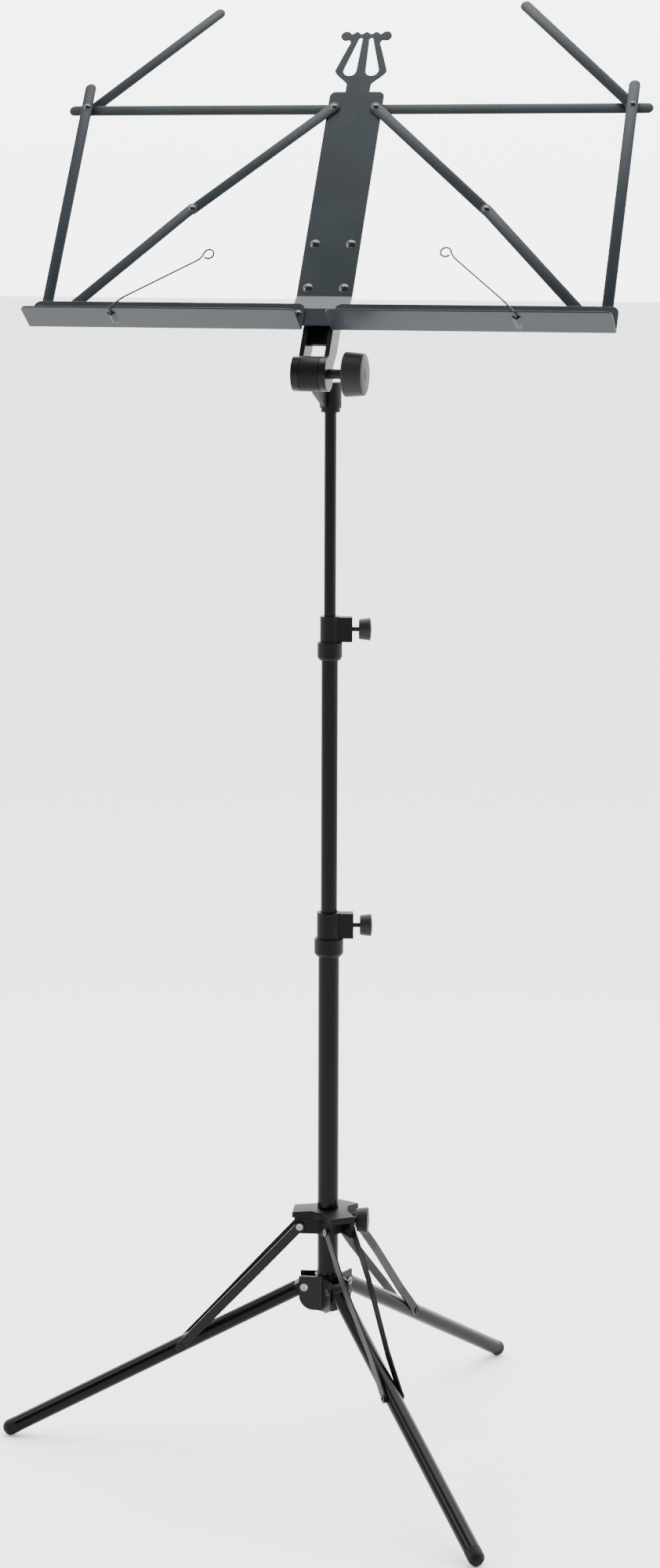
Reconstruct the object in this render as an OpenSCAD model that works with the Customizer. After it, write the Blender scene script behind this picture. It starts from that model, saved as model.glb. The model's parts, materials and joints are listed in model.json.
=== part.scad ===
/* [Pole] */
// Outside diameter of the lower tube
lower_tube_d = 18; // [16:0.5:22]
// Outside diameter of the middle tube
middle_tube_d = 14; // [12.5:0.5:14.5]
// Outside diameter of the upper tube
upper_tube_d = 10; // [8.5:0.5:10.5]
// Wall thickness of the tubes
tube_wall = 1; // [0.8:0.1:1.2]
// Length of the lower tube
lower_tube_len = 312; // [290:1:380]
// Length of the middle tube
middle_tube_len = 303; // [290:1:380]
// Length of the upper tube
upper_tube_len = 265; // [240:1:320]
// Length of the middle tube that stays inside the lower tube
middle_insert = 50; // [40:1:80]
// Length of the upper tube that stays inside the middle tube
upper_insert = 53; // [40:1:80]

/* [Tripod] */
// Length of a leg from its pivot to the centre of its foot
leg_len = 295; // [250:1:360]
// Outside diameter of a leg tube
leg_d = 14; // [12:0.5:16]
// Slope of an open leg below the horizontal
leg_slope = 28.3; // [22:0.1:36]
// Direction of the first leg, seen from above
leg_turn = 189; // [0:1:360]
// Distance of the leg pivots from the pole's axis
leg_pivot_r = 19.7; // [19.5:0.1:24]
// Distance along a leg from its pivot to its strut's rivet
strut_on_leg = 123; // [90:1:150]
// Width of a strut
strut_w = 8; // [6:0.5:10]
// Thickness of a strut
strut_t = 1.5; // [1:0.1:2]
// Reach of the slider's three lobes from the pole's axis
slider_r = 30; // [28:0.5:31]

/* [Clamps] */
// Diameter of the two clamp knobs
clamp_knob_d = 19; // [15:0.5:24]
// Length of the two clamp knobs
clamp_knob_len = 10.8; // [8:0.2:14]
// Direction in which the clamp knobs point, seen from above
clamp_turn = 14; // [0:1:360]
// Diameter of the knob that locks the tripod
hub_knob_d = 22.5; // [16:0.5:24]

/* [Tilt joint] */
// Lean of the desk back from the vertical
lean = 34; // [10:1:60]
// Distance of the tilt axis ahead of the pole's axis
tilt_reach = 52; // [46:1:60]
// Sideways place of the desk's middle from the pole's axis
desk_x = -3; // [-3:0.5:3]
// Diameter of the tilt barrel
barrel_d = 28.5; // [24:0.5:32]
// Width of the pole head's part of the barrel
eye_w = 16.2; // [14:0.1:20]
// Diameter of the tilt knob
tilt_knob_d = 36.5; // [28:0.5:42]
// Distance from the tilt axis up to the bend in the centre plate
tilt_to_bend = 73.6; // [70:0.1:90]

/* [Desk] */
// Overall width of the open desk
desk_w = 490; // [470:1:540]
// Width of the centre plate
plate_w = 47; // [44:1:56]
// Thickness of the sheet steel parts
sheet_t = 1.5; // [1:0.1:1.6]
// Gap between neighbouring layers of sheet
layer_gap = 0.3; // [0.2:0.05:0.5]
// Width of the folding bars
bar_w = 9.5; // [8:0.1:10.5]
// Height from the lower pivots up to the upper pivots
pivot_rise = 207; // [190:1:230]
// Distance of the inner pivots from the desk's middle
pivot_x = 17.8; // [17:0.1:20]
// Distance of the side bars from the desk's middle
side_x = 235; // [228:0.5:236]
// Distance of the lower diagonals' feet from the desk's middle
diagonal_x = 219; // [212:0.5:220]
// Distance of the elbow from the desk's middle
elbow_x = 125; // [115:1:135]
// Height of the elbow above the plate's bend
elbow_v = 83; // [75:1:90]
// Depth of the music shelf from back to front
shelf_depth = 31; // [24:0.5:36]
// Height of the shelf's back flange
flange_h = 25; // [24:0.5:26]
// Half of the gap between the two shelves
shelf_gap = 12.5; // [11:0.5:14]
// Length of a book arm between its pivot and its tip
book_arm_len = 143; // [100:1:150]
// Rise of an open book arm above the horizontal
book_arm_rise = 45.4; // [20:0.1:70]
// Diameter of the page clips' wire
wire_d = 1.4; // [1:0.1:2]
// Distance of the page clips from the desk's middle
clip_x = 168; // [120:1:180]
// Rise of an open page clip above the horizontal
clip_rise = 47; // [35:1:70]

/* [Hidden] */
$fn = 64;

// General clearances and small sizes
eps = 0.01;
run_fit = 0.05;       // radial clearance of a pin in its hole
bush_fit = 0.1;       // radial clearance of a plastic bush on a tube
pin_d = 4;            // shank of the desk's rivets
head_d = 6.4;         // head of the desk's pivot rivets
head_h = 1.4;
tail_h = 0.7;

// Tripod
foot_r = leg_d / 2;
hub_z = snap(foot_r + leg_len * sin(leg_slope));
leg_start = 8;        // from the pivot to the end of the leg's tube
leg_plug_len = 18;
cap_plug_len = 14;
cap_band = 7;         // straight part of a foot cap
hub_plate_t = 1.8;
hub_plate_in = leg_d / 2 + 0.2;
hub_plate_out = hub_plate_in + hub_plate_t;
hub_plate_r = 13;
hub_plate_inset = 0.4; // from the hub core's ends to the ears' edges
hub_core_r = lower_tube_d / 2 + 2;
leg_pin_d = 5;
knuckle_w = leg_d - 0.4;
strut_in_low = leg_d / 2 + 0.3;
ear_in = 8;
ear_t = 3.3;
strut_in_top = ear_in + ear_t + 0.3;
slider_pin_r = 23.3;
strut_len = 154.5;
strut_pin_d = 4;
eyelet_d = 6;
eyelet_h = 0.8;
strut_low_r = leg_pivot_r + strut_on_leg * cos(leg_slope);
strut_low_z = hub_z - strut_on_leg * sin(leg_slope);
slider_z = snap(strut_low_z + sqrt(pow(strut_len, 2) - pow(strut_low_r - slider_pin_r, 2)));
strut_slope = atan2(slider_z - strut_low_z, strut_low_r - slider_pin_r);
slider_lip = 0.4;      // from the slider's core ends to its ears' edges
ear_drop = 6.5;       // from the slider's pins down to its lower face
ear_rise = 7.5;       // from the slider's pins up to the cap's lower face
cap_rim = 4.4;
cap_crown = 2.4;
cap_round_r = lower_tube_d / 2 + 8.5;
lobe_w = 2 * (ear_in + ear_t);
slider_bore_d = lower_tube_d + 2 * bush_fit;
hub_knob_turn = leg_turn + 180;
hub_knob_len = 10.8;
hub_knob_start = 25;
hub_knob_z = slider_z + 3.6;
hub_stud_d = 5.4;

// Pole
tube_bottom = hub_z - 8;
lower_top = tube_bottom + lower_tube_len;
middle_bottom = lower_top - middle_insert;
middle_top = middle_bottom + middle_tube_len;
upper_bottom = middle_top - upper_insert;
upper_top = upper_bottom + upper_tube_len;
collar_wall = 3.4;
collar_len = 15;
collar_lap = 12;      // length of a collar that is over its own tube
clamp_wall = 3.2;
lower_clamp_h = 22.5;
upper_clamp_h = 21.7;
clamp_block_w = 11;
clamp_block_len = 10.6;
clamp_slot = 1.6;
stud_d = 3.8;
stud_gap = 5.4;       // length of stud that shows between a block and its knob
pad_t = 2;
bush_len = 24;

// Pole head and tilt joint
head_r = 9.1;
head_lip_d = 16;
head_lip_h = 3.6;
head_bottom = upper_top - 18;
eye_z = head_bottom + 33.6;
head_top = eye_z - 9;
web_w = 10;
rib_w = 4;
cheek_w = 5.9;
washer_t = 0.5;
tilt_stud_d = 8;
cheek_in = eye_w / 2 + washer_t;
cheek_out = cheek_in + cheek_w;
tilt_knob_start = 27.6;
tilt_knob_band = 15;
tilt_knob_dome = 3.4;
nut_d = 18;
nut_h = 1.8;
fork_t = 4;           // thickness of the fork's arms
fork_depth = 20;
fork_base_t = 3;
fork_base_w = 40;
fork_top_v = 58;
fork_web_low_v = -42;

// Desk, in its own axes: x to the right, y up the plate, z out of its front face
pitch = sheet_t + layer_gap;
lower_pivot_v = -21;
upper_pivot_v = lower_pivot_v + pivot_rise;
tab_layer = 3;
joggle_h = 15;
tab_bottom_v = lower_pivot_v - 10;
shoulder_v = upper_pivot_v + 16.5;
shelf_v = lower_pivot_v - 15.5;      // the shelf's lower face
flange_layer = 4;
flange_back = layer_back(flange_layer);
shelf_front = flange_back + shelf_depth;
wing_end = desk_w / 2;
flange_corner_r = 6;
shelf_corner_r = 5;
top_bar_over = 17;                   // length of a top bar past its corner pivot
side_bar_over = 19;                  // length of a side bar past its corner pivot
side_bar_under = bar_w / 2;
rivet_x = 15.2;
rivet_low_v = 8.2;
rivet_high_v = 50.8;
plate_rivet_d = 8.4;
plate_rivet_h = 1.6;
clip_axis_v = shelf_v - 1.3;
clip_front_gap = 1.2;
clip_straight = 14;
clip_len = 91;
clip_tip_n = 12;
clip_stagger = 5;     // how much further forward the right clip's tip stands
clip_loop_r = 4.3;
clip_bend_r = 1.6;
lance_w = 8;
lance_h = 2.6;

// Lyre finial, measured up from the plate's shoulder
lyre_neck_w = 21;
lyre_neck_v = 7;
lyre_arm_w = 44.5;
lyre_arm_v = 20.5;
lyre_crown_w = 26;
lyre_crown_v = 49.5;
lyre_crown_tip = 62;     // height of the crown's three points
lyre_lobe_x = 17.5;
lyre_lobe_r = 4.6;
lyre_lobe_v = 57.5;
lyre_peak_w = 8.4;
lyre_peak_h = 2.9;
lyre_open_foot = [9.6, 22];
lyre_open_foot_r = 5.6;
lyre_open_tip = [4.6, 54];
lyre_open_tip_r = 1.6;

// To the nearest hundredth of a millimetre
function snap(v) = round(v * 100) / 100;
function layer_back(k) = k * pitch - sheet_t;
function layer_front(k) = k * pitch;
function leg_angle(k) = leg_turn + 120 * (k - 1);
function polar(r, a) = [r * cos(a), r * sin(a)];
// Points of an arc about c, from angle a to angle b
function arc(c, r, a, b, n = 12) = [for (i = [0:n]) c + polar(r, a + (b - a) * i / n)];

module in_desk() {
    translate([desk_x, -tilt_reach, eye_z]) rotate([90 - lean, 0, 0])
        translate([0, tilt_to_bend, 0]) children();
}

// The right half of the desk as drawn, or its mirror image for the left half
module side(right) {
    mirror([right ? 0 : 1, 0, 0]) children();
}

// A flat bar with round ends between two points, in one layer of the desk
module bar(a, b, k, over_a = 0, over_b = 0, holes = [0, 1]) {
    d = b - a;
    len = norm(d);
    translate([a.x, a.y, layer_back(k)]) rotate([0, 0, atan2(d.y, d.x)])
        linear_extrude(sheet_t) difference() {
            union() {
                translate([-over_a, -bar_w / 2]) square([len + over_a + over_b, bar_w]);
                translate([-over_a, 0]) circle(d = bar_w);
                translate([len + over_b, 0]) circle(d = bar_w);
            }
            for (i = holes) translate([i * len, 0]) circle(d = pin_d + 2 * run_fit);
        }
}

// A domed cap on the plane z = 0
module dome(d, h) {
    r = (d * d / 4 + h * h) / (2 * h);
    intersection() {
        translate([0, 0, h - r]) sphere(r = r);
        cylinder(d = d, h = h);
    }
}

// A wide shallow dome on the plane z = 0, turned from an arc
module low_dome(d, h) {
    r = (d * d / 4 + h * h) / (2 * h);
    a = asin(d / 2 / r);
    rotate_extrude() polygon(concat([[0, 0]], [for (i = [0:10]) let (b = a * (1 - i / 10))
        [r * sin(b), max(0, r * cos(b) - r + h)]]));
}

// A rivet with a domed head in front and a small tail behind, from z = back to z = front
module rivet(back, front, tail = tail_h) {
    translate([0, 0, back]) cylinder(d = pin_d, h = front - back + eps);
    translate([0, 0, front]) dome(head_d, head_h);
    if (tail > 0) translate([0, 0, back - tail]) cylinder(d = head_d - 1, h = tail);
}

// A plain ring around a rivet, in one layer of the desk
module spacer(k) {
    translate([0, 0, layer_back(k)]) difference() {
        cylinder(d = head_d + 1, h = sheet_t);
        translate([0, 0, -1]) cylinder(d = pin_d + 2 * run_fit, h = sheet_t + 2);
    }
}

module tube(d, wall, h) {
    difference() {
        cylinder(d = d, h = h);
        translate([0, 0, -1]) cylinder(d = d - 2 * wall, h = h + 2);
    }
}

// Puts a leg's part, drawn along x from the leg's pivot, in its place
module on_leg(k) {
    rotate([0, 0, leg_angle(k)]) translate([leg_pivot_r, 0, hub_z]) rotate([0, leg_slope, 0])
        children();
}

module lower_hub() {
    low = hub_z - 21;
    high = hub_z + 10;
    color("#26282a") difference() {
        union() {
            translate([0, 0, low]) cylinder(r = hub_core_r, h = high - low);
            for (k = [1:3], s = [-1, 1]) rotate([0, 0, leg_angle(k)])
                translate([0, s * (hub_plate_in + hub_plate_t / 2), 0])
                    hub_plate(low + hub_plate_inset, high - hub_plate_inset);
        }
        translate([0, 0, tube_bottom]) cylinder(d = lower_tube_d + 2 * run_fit, h = 60);
        for (k = [1:3]) rotate([0, 0, leg_angle(k)]) translate([leg_pivot_r, 30, hub_z])
            rotate([90, 0, 0]) cylinder(d = leg_pin_d + 2 * run_fit, h = 60);
    }
}

// One ear of the lower hub: square against the core and round at its foot
module hub_plate(low, high) {
    reach = leg_pivot_r + 4.5;
    translate([0, hub_plate_t / 2, 0]) rotate([90, 0, 0]) linear_extrude(hub_plate_t)
        polygon(concat([[1, high], [1, low]],
                       arc([reach - hub_plate_r, low + hub_plate_r], hub_plate_r, -90, 0),
                       [[reach, high]]));
}

module leg_pivot_pins() {
    color("#8b9094") for (k = [1:3]) rotate([0, 0, leg_angle(k)])
        translate([leg_pivot_r, 0, hub_z]) rotate([90, 0, 0]) {
            cylinder(d = leg_pin_d, h = 2 * hub_plate_out, center = true);
            for (s = [0, 1]) mirror([0, 0, s]) translate([0, 0, hub_plate_out]) difference() {
                cylinder(d = leg_pin_d + 1.6, h = 1);
                translate([0, 0, 0.3]) cylinder(d = leg_pin_d - 1.4, h = 1);
            }
        }
}

module leg_tube(k) {
    color("#17191b") on_leg(k) translate([leg_start, 0, 0]) rotate([0, 90, 0])
        tube(leg_d, tube_wall, leg_len - leg_start - cap_band);
}

module leg_end(k) {
    inner_d = leg_d - 2 * tube_wall - 2 * run_fit;
    color("#2b2d2f") on_leg(k) difference() {
        union() {
            rotate([90, 0, 0]) cylinder(d = leg_d - 1.6, h = knuckle_w, center = true);
            translate([0, -knuckle_w / 2, -leg_d / 2 + 2]) cube([leg_start, knuckle_w, leg_d - 4]);
            translate([leg_start - eps, 0, 0]) rotate([0, 90, 0])
                cylinder(d = inner_d, h = leg_plug_len);
        }
        rotate([90, 0, 0]) cylinder(d = leg_pin_d + 2 * run_fit, h = 60, center = true);
    }
}

module foot_cap(k) {
    color("#1b1c1d") on_leg(k) {
        translate([leg_len, 0, 0]) sphere(r = foot_r);
        translate([leg_len - cap_band, 0, 0]) rotate([0, 90, 0]) cylinder(r = foot_r, h = cap_band);
        translate([leg_len - cap_band - cap_plug_len, 0, 0]) rotate([0, 90, 0])
            cylinder(d = leg_d - 2 * tube_wall - 2 * run_fit, h = cap_plug_len + eps);
    }
}

// Outline of one lobe of the slider, along x
module lobe_outline(reach) {
    translate([0, -lobe_w / 2]) square([reach, lobe_w]);
}

module slider_body() {
    low = slider_z - ear_drop;
    high = slider_z + ear_rise;
    color("#222426") difference() {
        union() {
            translate([0, 0, low - slider_lip])
                cylinder(d = lower_tube_d + 8.6, h = high - low + slider_lip);
            for (k = [1:3]) rotate([0, 0, leg_angle(k)]) translate([0, -lobe_w / 2, low])
                cube([slider_r - 2, lobe_w, high - low - slider_lip]);
            rotate([0, 0, hub_knob_turn]) translate([0, 0, hub_knob_z]) rotate([0, 90, 0])
                rotate([0, 0, 30]) cylinder(d = 7.4, h = hub_knob_start - 3.2);
        }
        translate([0, 0, low - 1]) cylinder(d = slider_bore_d, h = high - low + 2);
        for (k = [1:3]) rotate([0, 0, leg_angle(k)]) {
            translate([lower_tube_d / 2 + 3.4, -ear_in, low - 1]) cube([30, 2 * ear_in, 30]);
            translate([slider_pin_r, 30, slider_z]) rotate([90, 0, 0])
                cylinder(d = strut_pin_d + 2 * run_fit, h = 60);
        }
        rotate([0, 0, hub_knob_turn]) translate([0, 0, hub_knob_z]) rotate([0, 90, 0])
            rotate([0, 0, 30]) cylinder(d = hub_stud_d + 2 * run_fit, h = hub_knob_start);
    }
}

module slider_cap() {
    low = slider_z + ear_rise;
    color("#2e3032") translate([0, 0, low]) difference() {
        union() {
            linear_extrude(cap_rim) union() {
                for (k = [1:3]) rotate([0, 0, leg_angle(k)]) lobe_outline(slider_r);
                circle(r = cap_round_r);
            }
            intersection() {
                translate([0, 0, cap_rim - eps]) low_dome(2 * (slider_r + 5), cap_crown);
                linear_extrude(cap_rim + cap_crown + 1) union() {
                    for (k = [1:3]) rotate([0, 0, leg_angle(k)]) lobe_outline(slider_r - 0.6);
                    circle(r = cap_round_r - 0.6);
                }
            }
        }
        translate([0, 0, -1]) cylinder(d = slider_bore_d, h = 30);
    }
}

module slider_pins() {
    color("#8b9094") for (k = [1:3]) rotate([0, 0, leg_angle(k)])
        translate([slider_pin_r, 0, slider_z]) rotate([90, 0, 0]) for (s = [0, 1])
            mirror([0, 0, s]) {
                translate([0, 0, ear_in]) cylinder(d = strut_pin_d, h = ear_t + strut_t + 0.6);
                translate([0, 0, ear_in + ear_t + strut_t + 0.6]) difference() {
                    cylinder(d = eyelet_d, h = eyelet_h);
                    translate([0, 0, 0.2]) cylinder(d = strut_pin_d - 1.4, h = eyelet_h);
                }
            }
}

// One flat strut, from the slider's pin at the origin along x, stepped in towards the leg
module strut() {
    bend_1 = 0.3 * strut_len;
    bend_2 = 0.75 * strut_len;
    over = strut_w / 2;
    difference() {
        intersection() {
            translate([0, 0, -strut_w]) linear_extrude(2 * strut_w) polygon([
                [-over - 1, strut_in_top], [bend_1, strut_in_top],
                [bend_2, strut_in_low], [strut_len + over + 1, strut_in_low],
                [strut_len + over + 1, strut_in_low + strut_t], [bend_2, strut_in_low + strut_t],
                [bend_1, strut_in_top + strut_t], [-over - 1, strut_in_top + strut_t]
            ]);
            rotate([90, 0, 0]) translate([0, 0, -30]) linear_extrude(60) union() {
                circle(d = strut_w);
                translate([0, -strut_w / 2]) square([strut_len, strut_w]);
                translate([strut_len, 0]) circle(d = strut_w);
            }
        }
        rotate([90, 0, 0]) cylinder(d = strut_pin_d + 2 * run_fit, h = 60, center = true);
    }
    // the eyelet that closes the strut's lower end
    translate([strut_len, strut_in_low + strut_t, 0]) rotate([-90, 0, 0]) difference() {
        cylinder(d = eyelet_d, h = eyelet_h);
        translate([0, 0, 0.2]) cylinder(d = strut_pin_d - 1.4, h = eyelet_h);
    }
}

module strut_pair(k) {
    color("#1f2123") rotate([0, 0, leg_angle(k)]) translate([slider_pin_r, 0, slider_z])
        rotate([0, strut_slope, 0]) for (s = [0, 1]) mirror([0, s, 0]) strut();
}

// A knob on a stud along x: the stud starts at x = 0 and the knob at x = start
module stud_knob(stud, start, d, len, dome_h, bevel) {
    rotate([0, 90, 0]) {
        cylinder(d = stud, h = start + 2);
        translate([0, 0, start]) rotate_extrude() polygon([
            [0, 0], [d / 2 - bevel, 0], [d / 2, bevel], [d / 2, len - dome_h - bevel],
            [d / 2 - bevel, len - dome_h], [0, len - dome_h]
        ]);
        translate([0, 0, start + len - dome_h - eps]) dome(d - 2 * bevel - 0.4, dome_h);
    }
}

module hub_knob() {
    seat = lower_tube_d / 2 + 0.4;
    color("#242628") rotate([0, 0, hub_knob_turn]) translate([seat, 0, hub_knob_z])
        stud_knob(hub_stud_d, hub_knob_start - seat, hub_knob_d, hub_knob_len, 1.6, 1.2);
}

module lower_tube() {
    color("#17191b") translate([0, 0, tube_bottom]) tube(lower_tube_d, tube_wall, lower_tube_len);
}

module middle_tube() {
    color("#17191b") translate([0, 0, middle_bottom]) tube(middle_tube_d, tube_wall, middle_tube_len);
}

module upper_tube() {
    color("#17191b") translate([0, 0, upper_bottom]) tube(upper_tube_d, tube_wall, upper_tube_len);
}

// A plastic collar over the top of an outer tube that guides the tube inside it
module collar(top, outer_d, inner_d) {
    r = outer_d / 2 + collar_wall;
    low = top - collar_lap;
    color("#232527") difference() {
        translate([0, 0, low]) rotate_extrude() polygon([
            [0, 0], [r - 1.6, 0], [r, 2.4], [r, collar_len - 0.5], [r - 0.5, collar_len],
            [0, collar_len]
        ]);
        translate([0, 0, low - 1]) cylinder(d = outer_d + 2 * run_fit, h = collar_lap + 1);
        translate([0, 0, low]) cylinder(d = inner_d + 2 * bush_fit, h = collar_len + 1);
    }
}

// A clamp that stands on a collar, with a block that holds the knob's stud
module clamp(low, h, inner_d) {
    r = inner_d / 2 + clamp_wall;
    reach = r + clamp_block_len;
    color("#2a2c2e") translate([0, 0, low]) rotate([0, 0, clamp_turn]) difference() {
        union() {
            cylinder(r = r, h = h);
            translate([0, -clamp_block_w / 2, 0.5]) cube([reach, clamp_block_w, h - 1]);
        }
        translate([0, 0, -1]) cylinder(d = inner_d + 2 * bush_fit, h = h + 2);
        translate([r + 1.2, -clamp_slot / 2, h - 5]) cube([clamp_block_len - 3.4, clamp_slot, 10]);
        translate([0, 0, h / 2]) rotate([0, 90, 0]) cylinder(d = stud_d + 2 * run_fit, h = 40);
        translate([inner_d / 2 + bush_fit - 1, -3.2, h / 2 - 5]) cube([pad_t + 1, 6.4, 10]);
    }
}

// The brake pad that a clamp's stud presses on the inner tube
module brake_pad(low, h, inner_d) {
    gap = 0.15;
    color("#3a3c3e") translate([inner_d / 2 + bush_fit + gap, 0, low + h / 2])
        translate([0, -3, -4.7]) cube([pad_t - 2 * gap, 6, 9.4]);
}

module clamp_knob(low, h, inner_d) {
    start = inner_d / 2 + bush_fit + pad_t + 0.1;
    reach = inner_d / 2 + clamp_wall + clamp_block_len + stud_gap;
    color("#242628") translate([0, 0, low + h / 2]) rotate([0, 0, clamp_turn])
        translate([start, 0, 0])
            stud_knob(stud_d, reach - start, clamp_knob_d, clamp_knob_len, 1.4, 1.2);
}

lower_clamp_low = lower_top - collar_lap + collar_len;
upper_clamp_low = middle_top - collar_lap + collar_len;

module lower_collar() collar(lower_top, lower_tube_d, middle_tube_d);
module upper_collar() collar(middle_top, middle_tube_d, upper_tube_d);
module lower_clamp() clamp(lower_clamp_low, lower_clamp_h, middle_tube_d);
module upper_clamp() clamp(upper_clamp_low, upper_clamp_h, upper_tube_d);
module lower_clamp_knob() clamp_knob(lower_clamp_low, lower_clamp_h, middle_tube_d);
module upper_clamp_knob() clamp_knob(upper_clamp_low, upper_clamp_h, upper_tube_d);
module lower_brake_pad() rotate([0, 0, clamp_turn])
    brake_pad(lower_clamp_low, lower_clamp_h, middle_tube_d);
module upper_brake_pad() rotate([0, 0, clamp_turn])
    brake_pad(upper_clamp_low, upper_clamp_h, upper_tube_d);

// A plastic bush at the foot of an inner tube, that runs inside the outer tube
module foot_bush(bottom, inner_d, outer_bore) {
    plug_d = inner_d - 2 * tube_wall - 2 * run_fit;
    color("#d8d8d4") {
        translate([0, 0, bottom - 6]) cylinder(d = outer_bore - 2 * bush_fit, h = 6);
        translate([0, 0, bottom - eps]) cylinder(d = plug_d, h = bush_len - 6);
    }
}

module middle_bush() foot_bush(middle_bottom, middle_tube_d, lower_tube_d - 2 * tube_wall);
module upper_bush() foot_bush(upper_bottom, upper_tube_d, middle_tube_d - 2 * tube_wall);

module pole_head() {
    color("#2a2c2e") difference() {
        union() {
            translate([0, 0, head_bottom]) cylinder(d = head_lip_d, h = head_lip_h + eps);
            translate([0, 0, head_bottom + head_lip_h])
                cylinder(r = head_r, h = head_top - head_bottom - head_lip_h);
            translate([desk_x - eye_w / 2, -tilt_reach, eye_z]) rotate([0, 90, 0])
                cylinder(d = barrel_d, h = eye_w);
            translate([desk_x + web_w / 2, 0, 0]) rotate([90, 0, -90]) linear_extrude(web_w)
                polygon([[0, eye_z - barrel_d / 2 + 1.5], [tilt_reach, eye_z - barrel_d / 2 + 1.5],
                         [tilt_reach, eye_z - 5], [head_r, head_top - 0.5], [0, head_top - 0.5]]);
            translate([desk_x + rib_w / 2, 0, 0]) rotate([90, 0, -90]) linear_extrude(rib_w)
                polygon([[0, head_bottom + head_lip_h], [head_r - 2, head_bottom + head_lip_h],
                         [tilt_reach - 3, eye_z - barrel_d / 2 + 1],
                         [tilt_reach - 3, eye_z - barrel_d / 2 + 3], [0, eye_z - barrel_d / 2 + 3]]);
        }
        translate([0, 0, head_bottom - 1])
            cylinder(d = upper_tube_d + 2 * run_fit, h = upper_top - head_bottom + 1);
        translate([-40, -tilt_reach, eye_z]) rotate([0, 90, 0])
            cylinder(d = tilt_stud_d + 2 * run_fit, h = 80);
    }
}

// Runs a pin's axis along the desk's x at the tilt axis, with x = 0 in the desk's middle
module on_tilt_axis() {
    in_desk() translate([0, -tilt_to_bend, 0]) children();
}

module tilt_fork() {
    base_back = -sheet_t - fork_base_t;
    color("#1d1f21") in_desk() difference() {
        union() {
            translate([-fork_base_w / 2, -4, base_back])
                cube([fork_base_w, fork_top_v + 4, fork_base_t]);
            for (s = [0, 1]) mirror([s, 0, 0]) {
                translate([cheek_in, -tilt_to_bend, 0]) rotate([0, 90, 0])
                    cylinder(d = barrel_d, h = cheek_w);
                translate([cheek_in + fork_t, 0, 0]) rotate([0, -90, 0]) linear_extrude(fork_t)
                    polygon([[base_back, fork_top_v - 3], [-fork_depth, 20],
                             [-fork_depth, fork_web_low_v], [-10, -tilt_to_bend],
                             [2, -tilt_to_bend], [2, -17], [-sheet_t, -4],
                             [-sheet_t - 1, fork_top_v - 3]]);
            }
            translate([-cheek_in - 1, fork_web_low_v, -9])
                cube([2 * cheek_in + 2, 36, 3]);
        }
        translate([-40, -tilt_to_bend, 0]) rotate([0, 90, 0])
            cylinder(d = tilt_stud_d + 2 * run_fit, h = 80);
        for (x = [-rivet_x, rivet_x], v = [rivet_low_v, rivet_high_v])
            translate([x, v, base_back - 1]) cylinder(d = pin_d + 2 * run_fit, h = 10);
    }
}

module tilt_washers() {
    color("#77797b") on_tilt_axis() for (s = [0, 1]) mirror([s, 0, 0])
        translate([eye_w / 2 + 0.05, 0, 0]) rotate([0, 90, 0]) difference() {
            cylinder(d = barrel_d - 2, h = washer_t - 0.1);
            translate([0, 0, -1]) cylinder(d = tilt_stud_d + 2 * run_fit, h = 3);
        }
}

module tilt_nut() {
    color("#2a2c2e") on_tilt_axis() translate([-cheek_out, 0, 0]) rotate([0, -90, 0])
        low_dome(nut_d, nut_h);
}

module tilt_knob() {
    start = -cheek_out + 0.5;
    color("#2c2e31") on_tilt_axis() translate([start, 0, 0])
        stud_knob(tilt_stud_d, tilt_knob_start - start, tilt_knob_d,
                  tilt_knob_band + tilt_knob_dome, tilt_knob_dome, 0.8);
}

// One teardrop opening of the lyre, between a wide round foot and a narrow round tip
module lyre_opening() {
    d = lyre_open_tip - lyre_open_foot;
    lie = atan2(d.y, d.x);
    flank = acos((lyre_open_foot_r - lyre_open_tip_r) / norm(d));
    polygon(concat(arc(lyre_open_foot, lyre_open_foot_r, lie + flank, lie - flank + 360),
                   arc(lyre_open_tip, lyre_open_tip_r, lie - flank, lie + flank)));
}

module lyre() {
    neck = lyre_neck_w / 2;
    arm = lyre_arm_w / 2;
    crown = lyre_crown_w / 2;
    teeth = [for (i = [3:-1:-3])
        [i * lyre_peak_w / 2, lyre_crown_tip - (i % 2 == 0 ? 0 : lyre_peak_h)]];
    difference() {
        union() {
            polygon(concat(
                [[-neck, -1], [neck, -1], [neck, lyre_neck_v], [neck + 1, lyre_neck_v + 3],
                 [arm, lyre_arm_v], [arm, lyre_arm_v + 2], [crown, lyre_crown_v]],
                teeth,
                [[-crown, lyre_crown_v], [-arm, lyre_arm_v + 2], [-arm, lyre_arm_v],
                 [-neck - 1, lyre_neck_v + 3], [-neck, lyre_neck_v]]
            ));
            for (s = [-1, 1]) translate([s * lyre_lobe_x, lyre_lobe_v]) circle(r = lyre_lobe_r);
            translate([-lyre_lobe_x, lyre_crown_v + 3]) square([2 * lyre_lobe_x, 6]);
        }
        for (s = [0, 1]) mirror([s, 0]) lyre_opening();
    }
}

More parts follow.
